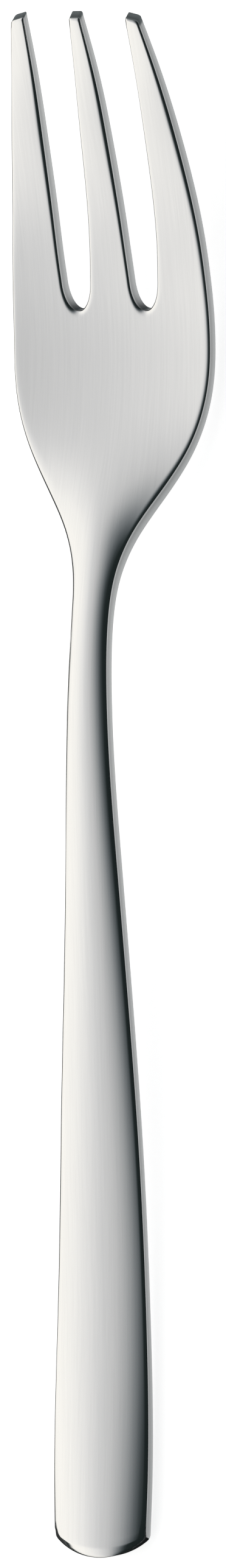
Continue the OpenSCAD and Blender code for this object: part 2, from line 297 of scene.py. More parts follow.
def root_round(turn, step, face):
    """The same round the root of a slot. turn goes from 0 at the wall that faces right to pi."""
    if not face:
        size, roll = BACK_SLOT, BACK_ROLL[step]
        return size[0] * roll[0] + 0 * turn, size[1] * roll[1] + 0 * turn
    to_left = ease(2 * turn / math.pi - 1)
    size = blend(FACE_SLOT, (left_width(tine_start), left_drop(tine_start)), to_left)
    size = blend(size, FACE_ROOT, np.sin(turn) ** ROOT_SPREAD)
    roll = blend(FACE_ROLL[step], LEFT_ROLL[step], to_left)
    return size[0] * roll[0], size[1] * roll[1]


def butt_round(across, step, face):
    """The same round the end of the butt, where across goes from -1 to 1."""
    middle, corner = (FACE_BUTT_MIDDLE, FACE_BUTT_CORNER) if face else (BACK_SIDE, BACK_SIDE)
    size = blend(middle, corner, np.abs(across) ** BUTT_SPREAD)
    roll = (BUTT_ROLL if face else BACK_ROLL)[step]
    return size[0] * roll[0], size[1] * roll[1]


# %% [markdown]
# ## The mesh of the blank
# The blank is a grid of quads. Its lines run from the butt to the front of the head, where they fan out:
# some go on up the three tines, and the others end on the rounded root of a slot. One grid gives the
# face and one the back, and rings of quads join them round the rim, so the mesh is closed and even.

# %% Numbers of quads
TINE_COLUMNS, SLOT_COLUMNS = 12, 26
COLUMNS = 3 * TINE_COLUMNS + 2 * SLOT_COLUMNS
HANDLE_ROWS, NECK_ROWS, HEAD_ROWS, TINE_ROWS = 124, 40, 52, 56
BODY_ROWS = HANDLE_ROWS + NECK_ROWS + HEAD_ROWS
FIRST_TINE = (BODY_ROWS + 1) * (COLUMNS + 1)
TINE_STARTS = [0, TINE_COLUMNS + SLOT_COLUMNS, 2 * (TINE_COLUMNS + SLOT_COLUMNS)]

# Shares of even spacing, and of spacing that gets closer towards the sides
EVEN, CLOSER = 0.7, 0.3
column_share = 1 - 2 * np.arange(COLUMNS + 1) / COLUMNS
column_share = EVEN * column_share + CLOSER * np.sin(column_share * math.pi / 2)
tine_share = (1 - np.cos(np.arange(TINE_COLUMNS + 1) / TINE_COLUMNS * math.pi)) / 2


# %% Edges of the blank in plan
def outer_edge(s, step, face, left):
    """Place across of the blank's right or left side, at one step of the rounded edge."""
    drawn_in = TIP_DRAW[0] * np.clip(1 - (tip_station - s) / TIP_DRAW[1], 0, 1) ** 2
    half = outline(s) - drawn_in - side_round(s, step, face, True, left)[0] * np.hypot(1, outline(s, 1))
    ground = RIGHT_TINE_GROUND[0] * ease(1 - (tip_station - s) / RIGHT_TINE_GROUND[1])
    return -half if left else half - ground


def slot_edge(s, step, face, slot, left):
    """The same for a slot, 1 for the right one and -1 for the left one. left is the left edge of a tine."""
    away = slot_half(s) + side_round(s, step, face, False, left)[0]
    return slot * slot_middle(s) + (away if left else -away)


def slot_root(step, face, slot):
    """Stations and places across of the rounded root, from the slot's right end to its left one."""
    turn = np.linspace(math.pi, 0, SLOT_COLUMNS + 1)
    away = root_round(turn, step, face)[0]
    s = tine_start - (slot_round_length + away) * np.sin(turn)
    return s, slot * slot_middle(s) - (slot_half(s) + away) * np.cos(turn)


def corner_lift(from_side, corner):
    """How far an end falls back at its rounded corner (width, length), at a distance from the side."""
    inside = np.clip(1 - from_side / corner[0], 0, 1)
    return corner[1] * (1 - np.sqrt(1 - inside**2))


# %% Plan of the grid for one stage of the rounded edge
def blank_plan(step, face):
    """(stations, places across) of all grid points, where the grid's rim lies at one step of the edge."""
    def body_edges(s):
        return outer_edge(s, step, face, False), outer_edge(s, step, face, True)

    right_edge, left_edge = body_edges(BUTT_CORNER_STATION)
    x = between(left_edge, right_edge, (1 + column_share) / 2)
    butt = butt_radius - np.sqrt(butt_radius**2 - x**2) + butt_round(column_share, step, face)[0]
    butt += corner_lift(np.minimum(right_edge - x, x - left_edge), BUTT_CORNER)

    tine_edges = [
        lambda s: (outer_edge(s, step, face, False), slot_edge(s, step, face, 1, True)),
        lambda s: (slot_edge(s, step, face, 1, False), slot_edge(s, step, face, -1, True)),
        lambda s: (slot_edge(s, step, face, -1, False), outer_edge(s, step, face, True)),
    ]
    front_s, front_x = np.full(COLUMNS + 1, tine_start), np.zeros(COLUMNS + 1)
    for tine, start in enumerate(TINE_STARTS):
        front_x[start : start + TINE_COLUMNS + 1] = between(*tine_edges[tine](tine_start), tine_share)
        if tine < 2:
            root = slice(start + TINE_COLUMNS, start + TINE_COLUMNS + SLOT_COLUMNS + 1)
            front_s[root], front_x[root] = slot_root(step, face, 1 - 2 * tine)

    share = np.linspace(0, 1, HANDLE_ROWS + 1)[:, None]
    handle_s = between(butt[None], neck_start, share)
    share = np.linspace(0, 1, NECK_ROWS + 1)[1:, None]
    neck_s = between(neck_start, head_start, share) + 0 * column_share[None]
    share = np.linspace(0, 1, HEAD_ROWS + 1)[1:, None]
    head_s = between(head_start, front_s[None], share)
    right_edge, left_edge = body_edges(front_s)
    front_share = 2 * (front_x - left_edge) / (right_edge - left_edge) - 1
    head_across = between(column_share[None], front_share[None], share)
    s = np.concatenate([handle_s, neck_s, head_s])
    across = np.concatenate([np.tile(column_share, (HANDLE_ROWS + NECK_ROWS + 1, 1)), head_across])
    right_edge, left_edge = body_edges(s)
    x = between(left_edge, right_edge, (1 + across) / 2)

    plans_s, plans_x = [s.ravel()], [x.ravel()]
    tip_inset = FACE_TIP[0] * FACE_ROLL[step][0] if face else BACK_TIP[0] * BACK_ROLL[step][0]
    for tine in range(3):
        width = tip_spread / 2 - slot_tip_offset - slot_tip_width / 2
        if tine == 1:
            width = 2 * slot_tip_offset - slot_tip_width
        end = tip_station - tip_inset - TIP_SETBACK[tine] - (TIP_LEAN[tine] if face else 0)
        end = end - corner_lift(width * tine_share, OUTER_TIP_CORNER if tine == 0 else TIP_CORNER)
        end = end - corner_lift(width * (1 - tine_share), OUTER_TIP_CORNER if tine == 2 else TIP_CORNER)
        if tine == 0:
            end = end - tip_slant * (1 - tine_share)
        if tine == 2:
            end = end - tip_slant * tine_share
        share = np.linspace(0, 1, TINE_ROWS + 1)[1:, None]
        s = between(tine_start, end[None], share)
        x = between(*tine_edges[tine](s), tine_share[None])
        plans_s.append(s.ravel())
        plans_x.append(x.ravel())
    return np.concatenate(plans_s), np.concatenate(plans_x)


# %% Indices of the grid, its quads and its rim
def body_point(row, column):
    return row * (COLUMNS + 1) + column


def tine_point(tine, row, column):
    """A point of a tine's grid. Its row 0 is the front of the head."""
    if row == 0:
        return body_point(BODY_ROWS, TINE_STARTS[tine] + column)
    return FIRST_TINE + (tine * TINE_ROWS + row - 1) * (TINE_COLUMNS + 1) + column


quads = [
    (body_point(k, j), body_point(k + 1, j), body_point(k + 1, j + 1), body_point(k, j + 1))
    for k in range(BODY_ROWS)
    for j in range(COLUMNS)
]
quads += [
    (tine_point(t, k, j), tine_point(t, k + 1, j), tine_point(t, k + 1, j + 1), tine_point(t, k, j + 1))
    for t in range(3)
    for k in range(TINE_ROWS)
    for j in range(TINE_COLUMNS)
]
quads = np.array(quads)

# %% The rim, once round from the butt's right corner
rim, rim_kind, rim_left, rim_turn = [], [], [], []


def add_rim(points, kind, left=False, turns=None):
    """The next stretch of the rim. turns is the place on a butt or root, from one end to the other."""
    rim.extend(points)
    rim_kind.extend([kind] * len(points))
    rim_left.extend([left] * len(points))
    rim_turn.extend(turns if turns is not None else [0.0] * len(points))


root_turn = np.linspace(0, math.pi, SLOT_COLUMNS + 1)[1:-1]
add_rim([body_point(0, j) for j in range(COLUMNS + 1)], "butt", turns=list(column_share))
add_rim([body_point(k, COLUMNS) for k in range(1, BODY_ROWS)], "outer", left=True)
for tine in (2, 1, 0):
    left_kind, right_kind = ("outer" if tine == 2 else "slot"), ("outer" if tine == 0 else "slot")
    add_rim([tine_point(tine, k, TINE_COLUMNS) for k in range(TINE_ROWS)], left_kind, left=True)
    add_rim([tine_point(tine, TINE_ROWS, j) for j in range(TINE_COLUMNS, 0, -1)], "tip")
    add_rim([tine_point(tine, k, 0) for k in range(TINE_ROWS, -1, -1)], right_kind)
    if tine:
        last = TINE_STARTS[tine]
        root = [body_point(BODY_ROWS, j) for j in range(last - 1, last - SLOT_COLUMNS, -1)]
        add_rim(root, "root", turns=list(root_turn))
add_rim([body_point(k, 0) for k in range(BODY_ROWS - 1, 0, -1)], "outer")
rim, rim_kind, rim_left, rim_turn = np.array(rim), np.array(rim_kind), np.array(rim_left), np.array(rim_turn)
print("grid quads:", len(quads), " rim points:", len(rim))


# %% Depth of the edge at each point of the rim
def rim_depth(s, step, face):
    """How far down the wall one step of the rounded edge lies, at each point of the rim."""
    deep = np.zeros(len(rim))
    deep[rim_kind == "butt"] = butt_round(rim_turn[rim_kind == "butt"], step, face)[1]
    deep[rim_kind == "root"] = root_round(rim_turn[rim_kind == "root"], step, face)[1]
    deep[rim_kind == "tip"] = FACE_TIP[1] * FACE_ROLL[step][1] if face else BACK_TIP[1] * BACK_ROLL[step][1]
    for kind in ("outer", "slot"):
        for left in (True, False):
            here = (rim_kind == kind) & (rim_left == left)
            deep[here] = side_round(s[here], step, face, kind == "outer", left)[1]
    return deep


# %% [markdown]
# ## Heights over the blank
# Each point gets three heights above the blank's back: the plain thickness less the rounded edge, a share
# of the crown that makes the handle's face bulge, and a share of the dish that makes the head a very
# shallow bowl. The crown and the dish are kept as named attributes, so the node tree can set them. The
# polish also leaves each tine a few hundredths of a millimetre higher along its middle.

# %% Build all points of the blank, from the face's rim round to the back's
WALL_SHARES = [0.02, 0.1, 0.3, 0.6, 0.9]
TINE_SWELL, SWELL_LENGTH = 0.032, 16.0
CROWN_TURN, CROWN_BLEND = 1.8, (5, 7)


def crown_share(s, x):
    """Share of the handle's crown. Near the sides it falls off sooner where the head starts."""
    u = np.clip(np.abs(x) / outline(s), 0, 1)
    roll = crown_roll * (1 - CROWN_TURN * ease((s - head_start + CROWN_BLEND[0]) / CROWN_BLEND[1]))
    fall = (1 - roll) * u**2 + roll * u**6
    return np.maximum(0, crown(s)) * (1 - fall) / handle_crown


def dish_share(s, x):
    return np.maximum(0, dish(s)) * (2 * x / head_width) ** 2 / dish_depth


def tine_swell(s, x):
    """Height of a tine's middle over its sides."""
    inner, outer = slot_middle(s) - slot_half(s), slot_middle(s) + slot_half(s)
    on_outer = (2 * np.abs(x) - outer - outline(s)) / (outline(s) - outer)
    from_middle = np.where(np.abs(x) < slot_middle(s), x / inner, on_outer)
    return TINE_SWELL * ease((s - tine_start) / SWELL_LENGTH) * (1 - np.clip(from_middle, -1, 1) ** 2)


def face_heights(s, x, drop):
    return np.array([s, x, thickness(s) + tine_swell(s, x) - drop, crown_share(s, x), dish_share(s, x)])


def back_heights(s, x, drop):
    return np.array([s, x, drop + 0 * s, 0 * s, dish_share(s, x)])


def ring(step, face):
    """Station, place across, height, crown share and dish share of the rim at one step of the edge."""
    s, x = (a[rim] for a in blank_plan(step, face))
    return (face_heights if face else back_heights)(s, x, rim_depth(s, step, face))


face_points = face_heights(*blank_plan(0, True), 0)
back_points = back_heights(*blank_plan(0, False), 0)
face_rings = [ring(step, True) for step in range(1, len(FACE_ROLL))]
back_rings = [ring(step, False) for step in range(len(BACK_ROLL) - 1, 0, -1)]
wall_rings = [between(face_rings[-1], back_rings[0], share) for share in WALL_SHARES]
rings = face_rings + wall_rings + back_rings
points = np.concatenate([face_points, *rings, back_points], axis=1)
print("points:", points.shape[1], " rings on the edge:", len(rings))

# %% Join the face, the rings and the back with quads
grid_size, rim_size = face_points.shape[1], len(rim)
loops = [rim] + [grid_size + n * rim_size + np.arange(rim_size) for n in range(len(rings))]
back_first = grid_size + len(rings) * rim_size
loops.append(back_first + rim)
wall_quads = []
for upper, lower in zip(loops[:-1], loops[1:]):
    wall_quads.append(np.stack([upper, np.roll(upper, -1), np.roll(lower, -1), lower], axis=1))
wall_quads = np.concatenate(wall_quads)
all_quads = np.concatenate([quads, quads[:, ::-1] + back_first, wall_quads])
print("quads of the blank:", len(all_quads))

# %% [markdown]
# ## The side profile
# The press bends the blank along one curve. Here it is a Blender curve with a point every twentieth of a
# millimetre, drawn from the same pins as the CAD. The blank lies flat, so its points are laid out by the
# length along this curve, just as a toolmaker unrolls a bent part to find the shape of its blank.

# %% Draw the profile as a curve, and measure the length along it
PROFILE_STEP = 0.05
profile_s = np.linspace(0, tip_station, int(tip_station / PROFILE_STEP) + 1)
profile_y, profile_z = profile_s - tip_station / 2, rise(profile_s)
profile_run = np.concatenate([[0], np.cumsum(np.hypot(np.diff(profile_y), np.diff(profile_z)))])

profile_curve = bpy.data.curves.new("side_profile", "CURVE")
profile_curve.dimensions = "3D"
spline = profile_curve.splines.new("POLY")
spline.points.add(len(profile_s) - 1)
flat = np.stack([0 * profile_s, profile_y * MM, profile_z * MM, 1 + 0 * profile_s], axis=1)
spline.points.foreach_set("co", flat.ravel())
profile = bpy.data.objects.new("side_profile", profile_curve)
scene.collection.objects.link(profile)
print("length along the profile in mm:", round(float(profile_run[-1]), 2))

# %% Make the flat blank as a mesh with its attributes
run = np.interp(points[0], profile_s, profile_run)
flat_points = np.stack([points[1], run, points[2]], axis=1) * MM
blank_mesh = bpy.data.meshes.new("fork_blank")
blank_mesh.from_pydata(flat_points.tolist(), [], all_quads.tolist())
for name, row in (("crown", points[3]), ("dish", points[4])):
    blank_mesh.attributes.new(name, "FLOAT", "POINT").data.foreach_set("value", row.astype(np.float32))

# %% [markdown]
# ## Where the polish runs
# Steel shows the way it was worked. The wheels run lengthwise over the face and the back, and the walls
# are duller. Their colour also holds painted shade: it is darker than the face, for the shadowed floor
# that they mirror, with a painted bright line under the face and a darker band below it that lightens
# towards the back. The bottom of a slot is duller and rougher, and painted shade darkens its colour
# nearly to black. Three attributes mark this: how much of a wall a point is, how deep it lies on the
# wall, and how much dull finish and painted shade a root has. A UV map in metres carries the lines,
# (across, along) on the face, the back and their rounded edges, and (along the rim, height) on the walls.

# %% Lay out the polish
rim_s, rim_x = points[0][rim], points[1][rim]
rim_step = np.hypot(np.diff(rim_s, append=rim_s[0]), np.diff(rim_x, append=rim_x[0]))
rim_run = np.concatenate([[0], np.cumsum(rim_step)])

# How much of a wall each ring is, and so how much of the walls' colour, with its painted shade, it takes.
# CRISP_CUT is for the right edges and the left half of each root.
FACE_CUT, CRISP_CUT = [0, 0, 0, 0, 0.1, 0.5, 0.85], [0, 0, 0, 0, 0.15, 0.9, 1]
WALL_CUT = [1, 1, 1, 1, 1]
BACK_CUT = [0.9, 0.7, 0.5, 0.3, 0.1]

# How much dull finish and painted shade a root has, by degrees round it from its left end. The painted
# shade darkens the root where it mirrors the floor shadowed under the head.
ROOT_DULL_AND_SHADE = [(0, 0), (20, 0.02), (30, 0.07), (40, 0.2), (50, 0.42), (60, 0.68), (75, 0.85), (90, 0.86)]
ROOT_DULL_AND_SHADE += [(98, 0.62), (106, 0.3), (116, 0.05), (180, 0)]
root_dull_and_shade = np.where(rim_kind == "root", np.interp(np.degrees(rim_turn), *zip(*ROOT_DULL_AND_SHADE)), 0)
marks = {name: np.zeros(points.shape[1]) for name in ("cut_edge", "wall_depth", "root_dull_and_shade")}
crisp = (rim_kind != "butt") & ~rim_left & ((rim_kind != "root") | (rim_turn < math.pi / 2))
crisp = crisp * ease((rim_s - BUTT_CORNER_STATION) / BUTT_BLEND)
cuts = list(zip(FACE_CUT, CRISP_CUT)) + [(cut, cut) for cut in WALL_CUT + BACK_CUT]
for loop, (usual, on_crisp) in zip(loops[1:-1], cuts):
    marks["cut_edge"][loop] = between(usual, on_crisp, crisp)
for loop, share in zip(loops[1:], [0] * len(FACE_CUT) + WALL_SHARES + [1] * (len(BACK_CUT) + 1)):
    marks["wall_depth"][loop] = share
for loop in loops[len(FACE_CUT) : -1]:
    marks["root_dull_and_shade"][loop] = root_dull_and_shade
for name, values in marks.items():
    blank_mesh.attributes.new(name, "FLOAT", "POINT").data.foreach_set("value", values.astype(np.float32))

corners = all_quads.ravel()
uv = np.stack([points[1][corners], run[corners]], axis=1)
plate_corners = 4 * 2 * len(quads)
first, second = rim_run[:-1], rim_run[1:]
for n in range(len(FACE_CUT), len(FACE_CUT) + len(WALL_CUT) + 1):
    start = plate_corners + 4 * n * rim_size
    upper, lower = points[2][loops[n]], points[2][loops[n + 1]]
    block = np.stack(
        [
            np.stack([first, upper], axis=1),
            np.stack([second, np.roll(upper, -1)], axis=1),
            np.stack([second, np.roll(lower, -1)], axis=1),
            np.stack([first, lower], axis=1),
        ],
        axis=1,
    )
    uv[start : start + 4 * rim_size] = block.reshape(-1, 2)
uv_map = blank_mesh.uv_layers.new(name="polish")
uv_map.data.foreach_set("uv", (uv * MM).astype(np.float32).ravel())
blank = bpy.data.objects.new("fork_blank", blank_mesh)
scene.collection.objects.link(blank)
print("rim in mm:", round(float(rim_run[-1]), 1))

# %% [markdown]
# ## Polished steel
# Polished stainless steel is nearly a mirror, so most of what one sees is the room. Three things tell
# it from chrome: faint lengthwise lines left by the wheels, a very slight unevenness of the polish, and
# duller walls with fine lines along the rim. The walls' darker colour and the slots' dark roots are partly
# painted shade. One node group draws lines of a given width and length, and the material places it four
# times with its own values. The shader itself stays in the material.

# %% A small helper for node trees
def add_node(tree, kind, **settings):
    """A node of that kind. Names of properties are set, and inputs_ sets sockets by name or number."""
    node = tree.nodes.new(kind)
    for socket, value in settings.pop("inputs_", {}).items():
        node.inputs[socket].default_value = value
    for name, value in settings.items():
        setattr(node, name, value)
    return node


def add_socket(tree, name, kind, in_out="INPUT"):
    """A named input or output of a node group."""
    return tree.interface.new_socket(name, in_out=in_out, socket_type="NodeSocket" + kind)


def add_math(tree, operation, *values):
    """The output of a maths node. Sockets are linked to its inputs, and numbers are set."""
    node = add_node(tree, "ShaderNodeMath", operation=operation)
    for socket, value in zip(node.inputs, values):
        if isinstance(value, bpy.types.NodeSocket):
            tree.links.new(value, socket)
        else:
            socket.default_value = value
    return node.outputs[0]


# %% The group that draws worked lines
LINE_DEFAULTS = {"Line Width": 0.0002, "Line Length": 0.01, "Shift": 0.0, "Detail": 2.0}


def lines_group():
    group = bpy.data.node_groups.new("worked_lines", "ShaderNodeTree")
    add_socket(group, "Place", "Vector")
    for name, value in LINE_DEFAULTS.items():
        add_socket(group, name, "Float").default_value = value
    add_socket(group, "Height", "Float", "OUTPUT")
    given = add_node(group, "NodeGroupInput")
    out = add_node(group, "NodeGroupOutput")
    split = add_node(group, "ShaderNodeSeparateXYZ")
    wide = add_math(group, "DIVIDE", split.outputs["X"], given.outputs["Line Width"])
    long = add_math(group, "DIVIDE", split.outputs["Y"], given.outputs["Line Length"])
    joined = add_node(group, "ShaderNodeCombineXYZ")
    noise = add_node(group, "ShaderNodeTexNoise", inputs_={"Scale": 1.0, "Roughness": 0.6})
    link = group.links.new
    link(given.outputs["Place"], split.inputs[0])
    link(wide, joined.inputs["X"])
    link(long, joined.inputs["Y"])
    link(given.outputs["Shift"], joined.inputs["Z"])
    link(joined.outputs[0], noise.inputs["Vector"])
    link(given.outputs["Detail"], noise.inputs["Detail"])
    link(noise.outputs[0], out.inputs["Height"])
    return group


worked_lines = lines_group()
print("group:", worked_lines.name)


# %% Values of the steel
# Width and length of the lines in metres, their shift and their detail
STREAKS, HAIRS = (0.00028, 0.018, 1.7, 3.0), (0.00007, 0.006, 5.2, 2.0)
GRAIN, CLOUDS = (0.004, 0.00011, 9.4, 3.0), (0.004, 0.011, 3.3, 2.0)

# Least and most roughness, where the clouds and the roots add theirs to the rest
STREAK_ROUGH, CLOUD_ROUGH, WALL_ROUGH, ROOT_ROUGH = (0.075, 0.125), (0.0, 0.03), (0.16, 0.22), (0.0, 0.1)

# Heights of the lines, as shares of the bump's distance in metres
STREAK_HEIGHT, HAIR_HEIGHT, GRAIN_HEIGHT, BUMP_DISTANCE = 0.30, 0.06, 0.3, 0.000001

# Colours: the polish between its two tints, a root's painted shade in its glancing reflection, and the
# walls by depth, partly duller steel and partly painted shade
TINT_LOW, TINT_HIGH, ROOT_GLANCE_SHADE = (0.665, 0.665, 0.665, 1), (0.70, 0.70, 0.698, 1), (0.34, 0.36, 0.37, 1)
WALL_HUE = (0.97, 1, 1.006)
WALL_TONE_AND_SHADE = [(0, 0.34), (0.09, 0.34), (0.24, 0.205), (0.42, 0.25), (0.6, 0.3), (0.8, 0.34), (1, 0.345)]


# %% The polished steel material
def polished_steel():
    material = bpy.data.materials.new("polished_steel")
    material.use_nodes = True
    tree = material.node_tree
    link = tree.links.new
    shader = tree.nodes["Principled BSDF"]
    shader.inputs["Metallic"].default_value = 1.0
    place = add_node(tree, "ShaderNodeUVMap", uv_map="polish")
    wall = add_node(tree, "ShaderNodeAttribute", attribute_name="cut_edge")
    depth = add_node(tree, "ShaderNodeAttribute", attribute_name="wall_depth")
    root_dull_and_shade = add_node(tree, "ShaderNodeAttribute", attribute_name="root_dull_and_shade")

    def lines(values):
        node = add_node(tree, "ShaderNodeGroup", node_tree=worked_lines)
        for name, value in zip(LINE_DEFAULTS, values):
            node.inputs[name].default_value = value
        link(place.outputs["UV"], node.inputs["Place"])
        return node.outputs["Height"]

    def mapped(source, low, high, start=0.3, end=0.7):
        """Bring a value into a range. Most of the noise lies between 0.3 and 0.7."""
        node = add_node(tree, "ShaderNodeMapRange", inputs_={1: start, 2: end, 3: low, 4: high})
        link(source, node.inputs[0])
        return node.outputs[0]

    def summed(first, second):
        return add_math(tree, "ADD", first, second)

    def by_wall(on_face, on_wall):
        node = add_node(tree, "ShaderNodeMix", data_type="FLOAT")
        link(wall.outputs["Fac"], node.inputs[0])
        link(on_face, node.inputs[2])
        link(on_wall, node.inputs[3])
        return node.outputs[0]

    streaks, hairs, grain, clouds = [lines(values) for values in (STREAKS, HAIRS, GRAIN, CLOUDS)]

    face_rough = summed(mapped(streaks, *STREAK_ROUGH), mapped(clouds, *CLOUD_ROUGH))
    wall_rough = summed(mapped(grain, *WALL_ROUGH), mapped(root_dull_and_shade.outputs["Fac"], *ROOT_ROUGH, 0.0, 1.0))
    link(by_wall(face_rough, wall_rough), shader.inputs["Roughness"])

    tint = add_node(tree, "ShaderNodeMix", data_type="RGBA")
    tint.inputs["A"].default_value, tint.inputs["B"].default_value = TINT_LOW, TINT_HIGH
    # The walls' colour: partly duller steel, partly painted shade for the shadowed floor they mirror
    dull_and_shaded = add_node(tree, "ShaderNodeMix", data_type="RGBA")
    wall_ramp_with_shade = add_node(tree, "ShaderNodeValToRGB")
    stops = wall_ramp_with_shade.color_ramp.elements
    for number, (position, grey) in enumerate(WALL_TONE_AND_SHADE):
        stop = stops[number] if number < 2 else stops.new(position)
        stop.position, stop.color = position, (*[hue * grey for hue in WALL_HUE], 1)
    # Painted shade: the colour of a slot's root goes towards black
    dark = add_node(tree, "ShaderNodeMix", data_type="RGBA")
    dark.inputs["B"].default_value = (0.0, 0.0, 0.0, 1)
    link(depth.outputs["Fac"], wall_ramp_with_shade.inputs["Fac"])
    link(wall_ramp_with_shade.outputs["Color"], dark.inputs["A"])
    link(root_dull_and_shade.outputs["Fac"], dark.inputs["Factor"])
    link(dark.outputs["Result"], dull_and_shaded.inputs["B"])
    # Painted shade in a root's glancing reflection, through a dark specular tint
    root_glance_shade = add_node(tree, "ShaderNodeMix", data_type="RGBA")
    root_glance_shade.inputs["A"].default_value, root_glance_shade.inputs["B"].default_value = (1.0, 1.0, 1.0, 1), ROOT_GLANCE_SHADE
    link(root_dull_and_shade.outputs["Fac"], root_glance_shade.inputs["Factor"])
    link(root_glance_shade.outputs["Result"], shader.inputs["Specular Tint"])
    link(mapped(summed(streaks, hairs), 0.0, 1.0, 0.7, 1.3), tint.inputs["Factor"])
    link(wall.outputs["Fac"], dull_and_shaded.inputs["Factor"])
    link(tint.outputs["Result"], dull_and_shaded.inputs["A"])
    link(dull_and_shaded.outputs["Result"], shader.inputs["Base Color"])

    bump = add_node(tree, "ShaderNodeBump", inputs_={"Strength": 1.0, "Distance": BUMP_DISTANCE})
    face_height = summed(mapped(streaks, 0.0, STREAK_HEIGHT), mapped(hairs, 0.0, HAIR_HEIGHT))
    link(by_wall(face_height, mapped(grain, 0.0, GRAIN_HEIGHT)), bump.inputs["Height"])
    link(bump.outputs["Normal"], shader.inputs["Normal"])
    return material


steel = polished_steel()
print("material:", steel.name, "with", len(steel.node_tree.nodes), "nodes")

# %% [markdown]
# ## The press
# Geometry Nodes bend the blank. For each point the tree asks the profile curve where the point's length
# along it falls and which way the curve runs there. The point then stands on that place, as high above
# it as it was above the flat blank's back, square to the curve, so the steel keeps its thickness.

# %% Build the press as a node tree
def press_tree():
    tree = bpy.data.node_groups.new("press_to_profile", "GeometryNodeTree")
    add_socket(tree, "Blank", "Geometry")
    add_socket(tree, "Side Profile", "Object")
    for name in ("Crown Height", "Dish Depth"):
        size = add_socket(tree, name, "Float")
        size.subtype, size.min_value = "DISTANCE", 0.0
    add_socket(tree, "Steel", "Material")
    add_socket(tree, "Fork", "Geometry", "OUTPUT")
    link = tree.links.new
    given, out = add_node(tree, "NodeGroupInput"), add_node(tree, "NodeGroupOutput")

    flat_place = add_node(tree, "GeometryNodeInputPosition")
    split = add_node(tree, "ShaderNodeSeparateXYZ")
    link(flat_place.outputs[0], split.inputs[0])

    height = split.outputs["Z"]
    for attribute, size in (("crown", "Crown Height"), ("dish", "Dish Depth")):
        share = add_node(tree, "GeometryNodeInputNamedAttribute", data_type="FLOAT")
        share.inputs["Name"].default_value = attribute
        height = add_math(tree, "MULTIPLY_ADD", share.outputs["Attribute"], given.outputs[size], height)

    shown = add_node(tree, "GeometryNodeObjectInfo", transform_space="ORIGINAL")
    sample = add_node(tree, "GeometryNodeSampleCurve", mode="LENGTH")
    link(given.outputs["Side Profile"], shown.inputs["Object"])
    link(shown.outputs["Geometry"], sample.inputs["Curves"])
    link(split.outputs["Y"], sample.inputs["Length"])

    square = add_node(tree, "ShaderNodeVectorMath", operation="CROSS_PRODUCT")
    square.inputs[0].default_value = (1.0, 0.0, 0.0)
    unit = add_node(tree, "ShaderNodeVectorMath", operation="NORMALIZE")
    lifted = add_node(tree, "ShaderNodeVectorMath", operation="SCALE")
    across = add_node(tree, "ShaderNodeCombineXYZ")
    first = add_node(tree, "ShaderNodeVectorMath", operation="ADD")
    second = add_node(tree, "ShaderNodeVectorMath", operation="ADD")
    link(sample.outputs["Tangent"], square.inputs[1])
    link(square.outputs[0], unit.inputs[0])
    link(unit.outputs[0], lifted.inputs[0])
    link(height, lifted.inputs["Scale"])
    link(split.outputs["X"], across.inputs["X"])
    link(sample.outputs["Position"], first.inputs[0])
    link(lifted.outputs[0], first.inputs[1])
    link(first.outputs[0], second.inputs[0])
    link(across.outputs[0], second.inputs[1])

    moved = add_node(tree, "GeometryNodeSetPosition")
    smooth = add_node(tree, "GeometryNodeSetShadeSmooth")
    realized = add_node(tree, "GeometryNodeRealizeInstances")
    covered = add_node(tree, "GeometryNodeSetMaterial")
    link(given.outputs["Blank"], moved.inputs["Geometry"])
    link(second.outputs[0], moved.inputs["Position"])
    for before, after in ((moved, smooth), (smooth, realized), (realized, covered)):
        link(before.outputs[0], after.inputs["Geometry"])
    link(given.outputs["Steel"], covered.inputs["Material"])
    link(covered.outputs[0], out.inputs["Fork"])
    return tree


press = press_tree()
sizes = {s.name: s.identifier for s in press.interface.items_tree if s.in_out == "INPUT"}
modifier = blank.modifiers.new("press", "NODES")
modifier.node_group = press
modifier[sizes["Side Profile"]] = profile
modifier[sizes["Crown Height"]] = handle_crown * MM
modifier[sizes["Dish Depth"]] = dish_depth * MM
modifier[sizes["Steel"]] = steel
print("inputs of the press:", list(sizes))

# %% Press the blank, and keep the result as a plain mesh
pressed = bpy.data.meshes.new_from_object(
    blank.evaluated_get(bpy.context.evaluated_depsgraph_get()),
    preserve_all_data_layers=True,
    depsgraph=bpy.context.evaluated_depsgraph_get(),
)
pressed.name = "pastry_fork"
fork = bpy.data.objects.new("pastry_fork", pressed)
scene.collection.objects.link(fork)
blank.modifiers.remove(modifier)
for used_up in (blank, profile):
    bpy.data.objects.remove(used_up)

measured = bmesh.new()
measured.from_mesh(pressed)
open_edges = sum(not e.is_manifold for e in measured.edges)
volume = measured.calc_volume(signed=True)
measured.free()
print("steel in mm3:", round(volume * 1e9, 1), " open edges:", open_edges, " quads:", len(pressed.polygons))

# %% Give the fork to the frame
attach(fork, "root")
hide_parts("handle", "neck", "head", "left_tine", "middle_tine", "right_tine")

# %% [markdown]
# ## Floor and light
# A mirror needs something to reflect. The photo's fork was lit by one long soft light on its left, which
# runs the length of the fork and fades to dark above it. Here a light tent does that: a dome whose glow
# depends on how far to the left or right it lies, and leans a little towards the butt end, which evens
# out the tilted head. It is hidden from the camera, which sees the pale floor and the white room past
# it, from every side.

# %% A helper for studio meshes
def studio_piece(name, mesh_maker, material):
    mesh = bpy.data.meshes.new(name)
    built = bmesh.new()
    mesh_maker(built)
    built.to_mesh(mesh)
    built.free()
    mesh.materials.append(material)
    piece = bpy.data.objects.new(name, mesh)
    scene.collection.objects.link(piece)
    return piece


def bare_material(name):
    """A material with only its output node, and that node's surface."""
    material = bpy.data.materials.new(name)
    material.use_nodes = True
    material.node_tree.nodes.clear()
    return material, add_node(material.node_tree, "ShaderNodeOutputMaterial").inputs["Surface"]


